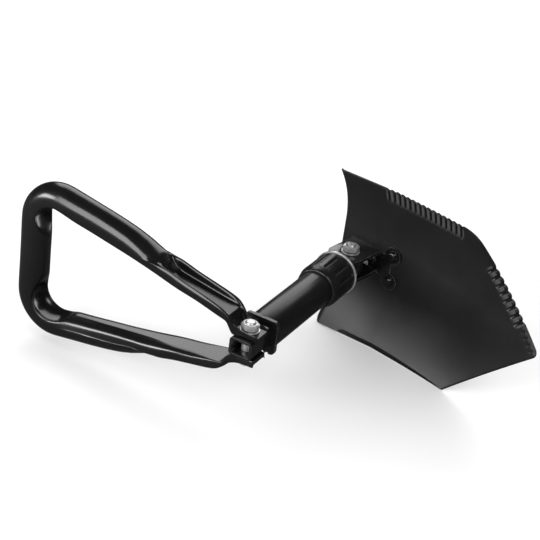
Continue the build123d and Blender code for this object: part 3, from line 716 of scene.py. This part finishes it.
def build_handle():
    upper = [(base, outward, handle_section(q)) for q, base, outward in handle_stations()]
    lower = [(base * [1, -1], outward * [1, -1], section) for base, outward, section in reversed(upper[:-1])]
    loops = upper + lower
    columns = 2 * (ROLES - 1)
    points = []
    for base, outward, section in loops:
        for a, b in section + [(-a, b) for a, b in section[-2:0:-1]]:
            h, z = base + outward * b
            points.append(handle_pivot + [-a, h, z])
    faces = ring_faces(len(loops), columns)
    faces += end_cap(0, columns, False) + end_cap((len(loops) - 1) * columns, columns, True)
    piece = place("handle_tube", points, faces, "handle_body")
    finish_with(piece, GLOSS_PAINT)
    subdivide = piece.modifiers.new("subdivide", "SUBSURF")
    subdivide.levels = 2
    subdivide.render_levels = 2
    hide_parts("d_handle")


build_handle()

# ---------------------------------------------------------------------------------------- collar


COLLAR_COLUMNS = 432
COLLAR_BORE = 17.0
COLLAR_LIP_BORE = 15.8
COLLAR_LIP = 4.0
FLUTE_PITCH_DEG = 30.0
FLUTE_PHASE_DEG = 7.0
FLUTE_DEPTH = 1.35
FLUTE_HALF_WIDTH = (0.75, 1.95)
FLUTE_FROM = 7.6
FLUTE_TO = 2.0
FLUTE_END_RUN = 1.5
CROWN = 0.22
CROWN_HALF_WIDTH = 5.0
OUTSIDE_BAND = 1.0


def collar_profile(rear, front, outer):
    """(along, radius) from the bore at the handle end, over the outside, to the bore at the ring."""
    taper_end = rear + 6.3
    shoulder = [
        (x, outer - 0.14 * math.exp((taper_end - x) / 0.8)) for x in np.linspace(rear + 6.8, rear + 12.0, 16)
    ]
    return [
        (rear + COLLAR_LIP, COLLAR_BORE), (rear + COLLAR_LIP, COLLAR_LIP_BORE), (rear, COLLAR_LIP_BORE),
        (rear, outer - 2.4), (rear + 0.35, outer - 1.9), (rear + 1.1, outer - 1.55),
        (rear + 3.0, outer - 1.1), (rear + 5.2, outer - 0.5), (taper_end, outer - 0.25),
        *shoulder,
        *[(x, outer) for x in np.linspace(rear + 13.0, front - 4.0, 14)],
        *[(x, outer) for x in np.linspace(front - 3.6, front - 1.4, 6)],
        (front - 0.8, outer - 0.08), (front - 0.3, outer - 0.35), (front, outer - 0.9), (front, COLLAR_BORE),
    ]


def build_collar():
    low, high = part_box("lock_collar")
    rear, front = low.x / MM, high.x / MM
    outer = high.y / MM
    profile = collar_profile(rear, front, outer)
    flute_start = rear + FLUTE_FROM
    flute_end = front - FLUTE_TO
    points = []
    for x, radius in profile:
        for column in range(COLLAR_COLUMNS):
            angle = 2 * math.pi * column / COLLAR_COLUMNS
            r = radius
            if radius > outer - OUTSIDE_BAND:
                turned = (math.degrees(angle) - FLUTE_PHASE_DEG) / FLUTE_PITCH_DEG
                off = abs(turned - round(turned)) * math.radians(FLUTE_PITCH_DEG) * outer
                ahead = max(flute_start + FLUTE_END_RUN - x, 0.0, x - flute_end + FLUTE_END_RUN)
                r -= FLUTE_DEPTH * (1 - float(smooth(math.hypot(off, ahead), *FLUTE_HALF_WIDTH)))
                crown = CROWN * (1 - min(off / CROWN_HALF_WIDTH, 1.0) ** 2)
                r -= crown * float(smooth(x, rear + 5, rear + 9))
            points.append((x, r * math.cos(angle), r * math.sin(angle)))
    faces = ring_faces(len(profile), COLLAR_COLUMNS)
    faces += closing_faces(len(profile), COLLAR_COLUMNS)
    piece = place("collar_sleeve", points, faces, "collar", 40)
    finish_with(piece, NYLON)
    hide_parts("lock_collar")


build_collar()

# ------------------------------------------------------------------------------ hexagon hardware

HEX_COLUMNS = 96
ACROSS_FLATS = 13.0
TURNED_RADIUS = 7.45
TURNED_ANGLE = math.radians(30)
FACE_RADIUS = 5.3
NUT_BORE = 4.05
HEAD_HEIGHT = 5.3
HEAD_TURN = 0.3
SHANK_RADIUS = 3.97
NECK_RADIUS = 4.2
THREADED = 11.5
THREAD_PITCH = 1.25
THREAD_DEPTH = 0.42
# The bolt's chamfered end: (radius, drop from the top)
BOLT_END = ((3.3, 0.25), (2.95, 0.04), (2.6, 0.0), (1.2, 0.0), (0.02, 0.05))


def turned_ring(centre, radius_at, height_at):
    """A ring of points about centre; the radius may depend on the angle, and the height on the radius."""
    ring = []
    for column in range(HEX_COLUMNS):
        angle = 2 * math.pi * column / HEX_COLUMNS
        radius = radius_at(angle) if callable(radius_at) else radius_at
        height = height_at(radius) if callable(height_at) else height_at
        ring.append((centre[0] + radius * math.cos(angle), centre[1] + radius * math.sin(angle), height))
    return ring


def hex_rings(centre, low, high, inner_low, inner_high, phase):
    """Rings of a hexagon with turned corners at both faces, from its lower middle to its upper middle."""

    def hex_radius(angle):
        part = (angle - phase) % (math.pi / 3) - math.pi / 6
        return min(ACROSS_FLATS / 2 / math.cos(part), TURNED_RADIUS)

    def turned_off(radius):
        return max(radius - FACE_RADIUS, 0.0) * math.tan(TURNED_ANGLE) + 0.04

    return [
        turned_ring(centre, inner_low, low + 0.35 if inner_low > 1 else low),
        turned_ring(centre, inner_low + 0.55, low),
        turned_ring(centre, FACE_RADIUS - 0.25, low),
        turned_ring(centre, FACE_RADIUS, low + 0.03),
        turned_ring(centre, hex_radius, lambda radius: low + 0.02 + turned_off(radius)),
        turned_ring(centre, hex_radius, lambda radius: high - 0.02 - turned_off(radius)),
        turned_ring(centre, FACE_RADIUS, high - 0.03),
        turned_ring(centre, FACE_RADIUS - 0.25, high),
        turned_ring(centre, inner_high + 0.55, high),
        turned_ring(centre, inner_high, high - 0.35 if inner_high > 1 else high),
    ]


def thread_ring(centre, z, depth):
    """A ring across a rolled thread; depth 0 is the plain shank."""
    def radius(angle):
        turn_at = (z / THREAD_PITCH - angle / (2 * math.pi)) % 1.0
        return SHANK_RADIUS - depth * (1 - abs(2 * turn_at - 1)) ** 1.2

    return turned_ring(centre, radius, z)


def place_turned(name, rings, faces, body, sharp_deg, node_name):
    points = [point for ring in rings for point in ring]
    piece = place(name, points, faces, body, sharp_deg)
    finish_with(piece, ZINC)
    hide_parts(node_name)


def build_hardware(bolt_node, nut_node, body, centre, phase):
    low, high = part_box(nut_node)
    rings = hex_rings(centre, low.z / MM, high.z / MM, NUT_BORE, NUT_BORE, phase)
    faces = ring_faces(len(rings), HEX_COLUMNS) + closing_faces(len(rings), HEX_COLUMNS)
    place_turned(nut_node + "_turned", rings, faces, body, 24, nut_node)

    # Bolt: head, then a shank whose end carries a rolled thread
    low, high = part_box(bolt_node)
    bottom, top = low.z / MM, high.z / MM
    head_top = bottom + HEAD_HEIGHT
    rings = hex_rings(centre, bottom, head_top, 0.02, NECK_RADIUS, phase + HEAD_TURN)
    for z in [*np.linspace(head_top - 0.35, top - 12.0, 6), *np.linspace(top - 11.9, top - 0.9, 90)]:
        rings.append(thread_ring(centre, z, THREAD_DEPTH if z > top - THREADED else 0.0))
    for radius, drop in BOLT_END:
        rings.append(turned_ring(centre, radius, top - drop))
    faces = ring_faces(len(rings), HEX_COLUMNS)
    faces.append(tuple(reversed(range(HEX_COLUMNS))))
    faces.append(tuple(range((len(rings) - 1) * HEX_COLUMNS, len(rings) * HEX_COLUMNS)))
    place_turned(bolt_node + "_threaded", rings, faces, body, 35, bolt_node)


build_hardware("blade_hinge_bolt", "blade_hinge_nut", "blade_body", blade_pivot, math.radians(4))
build_hardware("handle_hinge_bolt", "handle_hinge_nut", "handle_body", handle_pivot, math.radians(1))

# ------------------------------------------------------------------------- floor, light, camera

FLOOR_REACH = 8.0
FLOOR_GAP = 0.0005
FLOOR_GREY = 0.88
FLOOR_GREY_IN_GLOSS = 0.07
WORLD_STRENGTH = 0.75
WORLD_STRENGTH_IN_GLOSS = 0.02

floor_mesh = bpy.data.meshes.new("floor")
floor_level = cad_low.z - FLOOR_GAP
floor_corners = [
    (x * FLOOR_REACH, y * FLOOR_REACH, floor_level) for x, y in ((-1, -1), (1, -1), (1, 1), (-1, 1))
]
floor_mesh.from_pydata(floor_corners, [], [(0, 1, 2, 3)])
floor = bpy.data.objects.new("floor", floor_mesh)
bpy.context.scene.collection.objects.link(floor)
# Painted shade in reflections: the floor is pale to the camera and to diffuse light, but near black in glossy
# rays.
pale = Nodes("pale_floor")
seen_in_gloss = pale.add("ShaderNodeLightPath").outputs["Is Glossy Ray"]
pale.set(Base_Color=pale.mix(seen_in_gloss, grey(FLOOR_GREY), grey(FLOOR_GREY_IN_GLOSS)), Roughness=0.9,
         Specular_IOR_Level=0.1)
floor.data.materials.append(pale.material)

# The room is bright to the floor and dim in reflections, as with black cards round a product table
world = bpy.data.worlds.new("studio")
world.use_nodes = True
background = world.node_tree.nodes["Background"]
background.inputs["Color"].default_value = (1.0, 1.0, 1.0, 1.0)
ray = world.node_tree.nodes.new("ShaderNodeLightPath")
dimmed = world.node_tree.nodes.new("ShaderNodeMapRange")
world.node_tree.links.new(ray.outputs["Is Glossy Ray"], dimmed.inputs[0])
dimmed.inputs["To Min"].default_value = WORLD_STRENGTH
dimmed.inputs["To Max"].default_value = WORLD_STRENGTH_IN_GLOSS
world.node_tree.links.new(dimmed.outputs[0], background.inputs["Strength"])
bpy.context.scene.world = world

LIT_MIDDLE = Vector((0.03, 0.03, 0.0))


def softbox(name, direction, distance, width, height, radiance):
    """A soft rectangular light looking at the object's middle; distance and size in metres."""
    light = bpy.data.lights.new(name, "AREA")
    light.shape = "RECTANGLE"
    light.size = width
    light.size_y = height
    light.energy = radiance * math.pi * width * height
    lamp = bpy.data.objects.new(name, light)
    towards = Vector(direction).normalized()
    lamp.location = LIT_MIDDLE + towards * distance
    lamp.rotation_mode = "QUATERNION"
    lamp.rotation_quaternion = towards.to_track_quat("Z", "Y")
    bpy.context.scene.collection.objects.link(lamp)


softbox("left_softbox", (-0.906, 0.259, 0.334), 1.7, 0.75, 1.1, 5.5)
softbox("far_left_softbox", (-0.70, 0.70, 0.16), 2.0, 0.8, 0.6, 12.0)
softbox("back_softbox", (0.77, 0.30, 0.58), 2.2, 2.2, 1.5, 2.2)
softbox("key_softbox", (-0.45, -0.75, 0.9), 2.2, 0.9, 0.9, 4.0)
softbox("rear_softbox", (0.95, -0.30, 0.10), 2.2, 1.2, 0.8, 3.2)

# Camera at the photo's angle: its own directions, place and lens
CAMERA_RIGHT = Vector((0.50833, -0.85225, 0.12328))
CAMERA_UP = Vector((0.38714, 0.35410, 0.85132))
CAMERA_LOOK = Vector((0.7691, 0.3850, -0.5100))
CAMERA_PLACE = Vector((-0.9790, -0.4724, 0.6665))
CAMERA_LENS = 105.13
CAMERA_SHIFT = (-0.0036, 0.0273)

camera_data = bpy.data.cameras.new("camera")
camera = bpy.data.objects.new("camera", camera_data)
bpy.context.scene.collection.objects.link(camera)
turned = Matrix((CAMERA_RIGHT, CAMERA_UP, -CAMERA_LOOK)).transposed().to_4x4()
turned.translation = CAMERA_PLACE
camera.matrix_world = turned
camera_data.sensor_width = 36.0
camera_data.lens = CAMERA_LENS
camera_data.shift_x, camera_data.shift_y = CAMERA_SHIFT
camera_data.clip_start = 0.05
camera_data.clip_end = 50.0
bpy.context.scene.camera = camera
bpy.context.scene.view_settings.view_transform = "Standard"
bpy.context.scene.view_settings.exposure = 0.0
